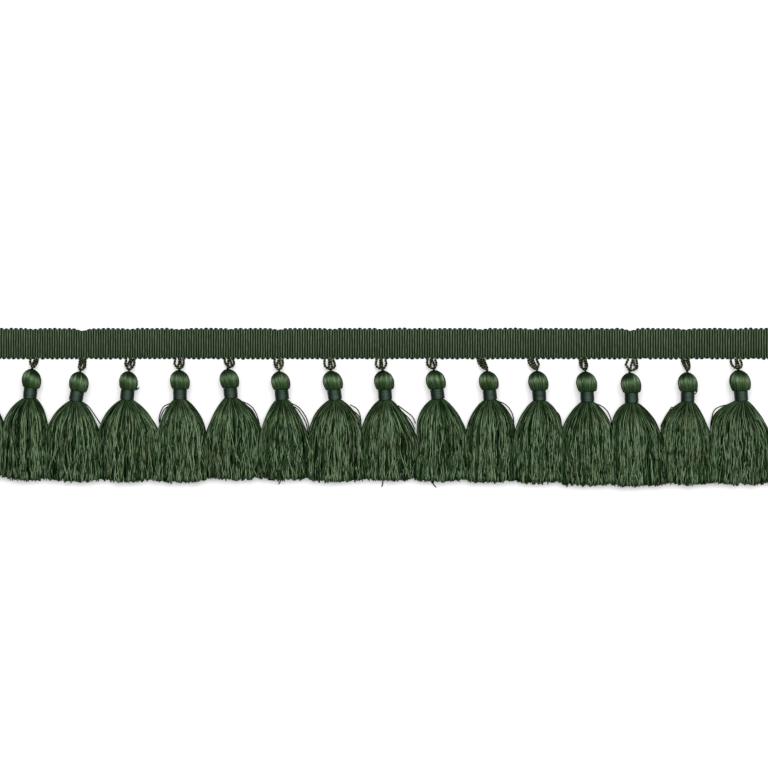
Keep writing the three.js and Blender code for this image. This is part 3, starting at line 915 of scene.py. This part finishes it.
def skirt_yarns(row, rng):
    """Paths, radii, shades and tones of the yarns in one skirt, as a list of groups.

    shade is painted shade and light: height on the bundle's top, so that lower yarns are painted
    darker, times the painted light down and aside. The chance that a yarn is lit, with a painted
    sheen in its tone, goes up and down by turns, and with its lock, which is twisted as one.
    """
    locks = np.sort(rng.uniform(-1, 1, LOCKS))
    lit_locks = rng.uniform(-1, 1, LOCKS)
    groups = []
    # The core lies less loose than the face, so that no gap opens inside.
    kinds = zip(yarn_places(rng), (FACE_ROWS, CORE_ROWS), (FACE_RADIUS, CORE_RADIUS), (1.0, 0.4))
    for places, count, thick, loose in kinds:
        paths, place, height, free, lock = lay_yarns(row, rng, places, count, locks, loose)
        yarns = len(paths)
        thinning = 0.55 + 0.45 * np.clip(free / 0.25, 0, 1)
        radius = thick * thinning * rng.uniform(0.75, 1.15, (yarns, 1))
        paths[..., 2] = np.maximum(paths[..., 2], radius + 0.01)
        shade = 0.06 + 0.94 * np.clip((height - 0.1) / 0.85, 0, 1) ** 1.5
        shade = shade * by_table(free, LIGHT_DOWN) * by_table(place, LIGHT_ASIDE)
        by_turns = 0.25 * (-1.0) ** np.arange(yarns)
        lit = rng.random(yarns) < 0.5 + 0.15 * lit_locks[lock] + by_turns
        tone = np.where(lit, rng.normal(LIT_TONE, LIT_SPREAD, yarns),
                        rng.normal(UNLIT_TONE, UNLIT_SPREAD, yarns))
        groups.append((paths, radius, shade, np.clip(tone, 0, 1.3)))
    paths = loose_paths(row)
    if len(paths):
        flat = np.ones(paths.shape[:2])
        # The loose yarns are painted almost wholly in shade.
        groups.append((paths, LOOSE_RADIUS * flat, 0.05 * flat, np.ones(len(paths))))
    return groups


print("yarn:", 2 * FACE_RADIUS, "mm thick on the face,", 2 * CORE_RADIUS, "mm in the core")

# %% [markdown]
# ## The head
#
# The yarn is drawn over a small round mould, so the head is one skin of threads side by side
# that run from the crown to the neck. Single tubes would be wasted here, because the threads
# touch: one profile is carried round the neck's axis, with a low ridge for each thread. The
# heads are a little aslant, and a band of painted light lies on them across the threads, a little
# above the middle, with painted shade at the crown, the foot and the sides.

# %% The head
HEAD_THREADS = 58
HEAD_SAMPLES = 3
THREAD_RELIEF = 0.12
HEAD_SLANT = 0.08  # the heads slant: the crown lies to the left, the foot to the right
# Height above the head's middle and radius, as shares of the ball, from neck to crown.
HEAD_PROFILE = np.array([
    [-0.97, 0.48], [-0.925, 0.57], [-0.895, 0.74], [-0.81, 0.84], [-0.66, 0.905], [-0.44, 0.965],
    [-0.20, 0.99], [0.06, 0.99], [0.30, 0.925], [0.50, 0.86], [0.68, 0.745], [0.83, 0.59],
    [0.94, 0.43], [1.01, 0.30], [1.06, 0.14], [0.98, 0.07],
])
NECK_PROFILE = np.array([[-0.6, 2.3], [4.6, 2.4]])  # height and radius in millimetres
# Pairs of a height as a share of the ball, or a rise of the side from -1 to 1, and the painted
# light there: a band a little above the middle, and painted shade at foot, crown and sides.
LIGHT_BAND = [[-1.2, 0.0], [-0.8, 0.14], [-0.35, 0.25], [-0.1, 0.42], [0.12, 0.88], [0.34, 0.60],
              [0.56, 0.15], [0.8, 0.0]]
LIGHT_ROUND = [[0, 0.0], [0.28, 0.15], [0.42, 1.25], [1, 0.88]]


def leaning(x, y, z, row):
    """Points turned by the neck's lean: (x cos - y sin, x sin + y cos, z)."""
    tilt = lean(row)
    return np.stack([x * math.cos(tilt) - y * math.sin(tilt),
                     x * math.sin(tilt) + y * math.cos(tilt), z], -1)


def tassel_head(row, rng):
    """Skin of neck and head: radius by height from the profile, with a ridge for each thread.

    The ridges fade where the threads crowd together at the crown and run a little aslant.
    """
    around = HEAD_THREADS * HEAD_SAMPLES
    angle = 2 * np.pi * np.arange(around) / around
    thread = np.arange(around) // HEAD_SAMPLES
    head = [head_middle(row), 0] + HEAD_PROFILE * row["ball"]
    height, radius = np.concatenate([NECK_PROFILE, head]).T
    crest = np.where(np.arange(around) % HEAD_SAMPLES == 0, 0.0, 1.0)
    proud = rng.normal(0, 0.4, HEAD_THREADS)[thread]
    ridge = THREAD_RELIEF * crest * (1 + proud) - 0.1
    fade = np.clip(radius / row["ball"], 0, 1)[:, None] ** 1.5
    r = radius[:, None] + ridge[None, :] * fade
    swirl = rng.normal(0, 0.2) + 0.07 * np.sin(3 * angle + 6 * rng.random())
    slant = swirl + rng.normal(0, 0.03, HEAD_THREADS)[thread]
    turn = angle[None, :] + slant[None, :] * np.linspace(-1, 1, len(height))[:, None]
    aside = np.where(height > NECK_TOP - 0.45, HEAD_SLANT * (head_middle(row) - height), 0)
    x, up, y = r * np.cos(turn) + aside[:, None], r * np.sin(turn), height[:, None] + 0 * turn
    points = leaning(x, y, np.maximum(axis_height(row) + up, 0.02), row)
    across = np.stack([-np.sin(turn), 0 * turn, np.cos(turn)], -1)

    # The painted band of light is tilted a little, and each thread carries it at a height of its
    # own.
    # The grooves between the threads are painted in shade.
    level = (height[:, None] - head_middle(row)) / row["ball"]
    level = level + rng.normal(0, 0.16) * np.cos(angle) + rng.normal(0, 0.07, HEAD_THREADS)[thread]
    shade = by_table(level, LIGHT_BAND) * (0.35 + 0.65 * crest[None, :])
    shade = shade * by_table(np.sin(angle), LIGHT_ROUND)[None, :]
    tone = np.clip(rng.normal(0.82, 0.22, HEAD_THREADS), 0.15, 1.3)[thread] * np.ones_like(shade)
    run = np.stack([y, THREAD_STEP * thread[None, :] + 0 * y, 0 * y], -1)
    return points, shade, tone, run, across


print("threads on a head:", HEAD_THREADS)

# %% Make the tassels
YARN_SIDES = 3


def tassel(row):
    """Head, neck and skirt of one tassel as one mesh."""
    rng = np.random.default_rng(300 + row["number"])
    points, shade, tone, run, across = tassel_head(row, rng)
    # The head's rings turn from +x to +z while they climb along +y, so they are turned round.
    faces = [face[::-1] for face in tube_faces(1, *shade.shape)]
    layers = [[points.reshape(-1, 3)], [shade.ravel()], [tone.ravel()], [run.reshape(-1, 3)],
              [across.reshape(-1, 3)]]
    for paths, radius, shade, tone in skirt_yarns(row, rng):
        faces += tube_faces(len(paths), paths.shape[1], YARN_SIDES, sum(len(p) for p in layers[0]))
        points, across = round_section(paths, radius, YARN_SIDES, turn=np.pi / 2)
        marks = yarn_marks(paths, YARN_SIDES, THREAD_STEP * np.arange(len(paths)) + 5000)
        parts = (points, np.repeat(shade.ravel(), YARN_SIDES),
                 np.repeat(tone, paths.shape[1] * YARN_SIDES), marks, across)
        for layer, part in zip(layers, parts):
            layer.append(part)
    points, shade, tone, run, across = (np.concatenate(layer) for layer in layers)
    return mesh_piece(numbered("tassel_yarn", row), points + [row["neck"], row["foot"], 0],
                      faces, shade=shade, tone=tone, run=run, across=across)


for row in TASSELS:
    piece = dress(tassel(row), numbered("tassel", row), SILK)
print("last tassel:", len(piece.data.vertices), "points")

# %% [markdown]
# ## Neck bindings
#
# The neck is tied with a fine thread wound tightly, turn by turn. A helix would need a tube of
# many faces, and the turns lie so close that only their crests show, so the binding is one
# surface whose radius rises and falls once for each turn, slanted a little like the real turns.

# %% Bindings
TURNS = 13
TURN_SAMPLES = 4
TURN_RELIEF = 0.14
BODY_RADIUS = 3.3
BODY_BULGE = 0.1
BINDING_SIDES = 36
# Painted light of the binding by a side's rise: painted shade at the sides, a painted highlight
# down the middle.
BINDING_LIGHT = [[0, 0.01], [0.75, 0.09], [0.92, 0.45], [1, 1]]  # by a side's rise from -1 to 1


def neck_binding(row):
    """Rings round the neck, with both ends drawn in.

    radius = body + TURN_RELIEF |sin(pi (TURNS t - angle / 2 pi))|, and the body bulges a
    little in the middle and isn't quite round.
    """
    rng = np.random.default_rng(400 + row["number"])
    t = np.linspace(0, 1, TURNS * TURN_SAMPLES + 1)[:, None]
    angle = 2 * np.pi * np.arange(BINDING_SIDES)[None, :] / BINDING_SIDES
    turn = TURNS * t - angle / (2 * np.pi)
    wave = np.abs(np.sin(np.pi * turn))
    own = np.clip(np.floor(turn).astype(int) + 1, 0, TURNS)
    body = BODY_RADIUS + BODY_BULGE * np.cos((t - 0.5) * 2.2) + 0.03 * np.sin(3 * angle + 2)
    r = body + rng.normal(0, 0.04, TURNS + 1)[own] + TURN_RELIEF * wave
    inner = np.full((1, BINDING_SIDES), NECK_RADIUS + 0.2)
    r = np.concatenate([inner, r, inner])
    height = (BINDING_FOOT + BINDING_LENGTH * t)[:, 0]
    height = np.concatenate([height[:1], height, height[-1:]])
    y = height[:, None] + 0 * r
    points = leaning(r * np.cos(angle), y, axis_height(row) + r * np.sin(angle), row)
    across = np.broadcast_to(leaning(0.0, 1.0, 0.0, row), points.shape)

    # Painted shade: the sides are painted in shade, the left one a little more, and the crest of
    # each turn is painted lighter than its grooves.
    light = by_table(np.sin(angle + 0.1), BINDING_LIGHT)
    shade = np.concatenate([0 * inner, (0.3 + 0.7 * wave) * light, 0 * inner])
    tone = np.concatenate([0 * inner, rng.normal(0.6, 0.08, TURNS + 1)[own], 0 * inner])
    run = np.stack([BINDING_RADIUS * angle + 0 * y, 3 * y, 0 * y + row["number"]], -1)
    faces = [face[::-1] for face in tube_faces(1, len(r), BINDING_SIDES)]
    return mesh_piece(numbered("neck_thread", row), points + [row["neck"], row["foot"], 0],
                      faces, shade=shade, tone=tone, run=run, across=across)


for row in TASSELS:
    dress(neck_binding(row), numbered("binding", row), BINDING)
print("bindings:", len(TASSELS))

# %% [markdown]
# ## Measure and finish
#
# The triangles of the tape and of the fringe are counted.

# %% Finish
names = ("cord_", "tassel_yarn_", "neck_thread_")
fringe = [o for o in bpy.data.objects if o.name.startswith(names)]
total = sum(sum(len(p.vertices) - 2 for p in o.data.polygons) for o in [tape, *fringe])
print("triangles:", total)
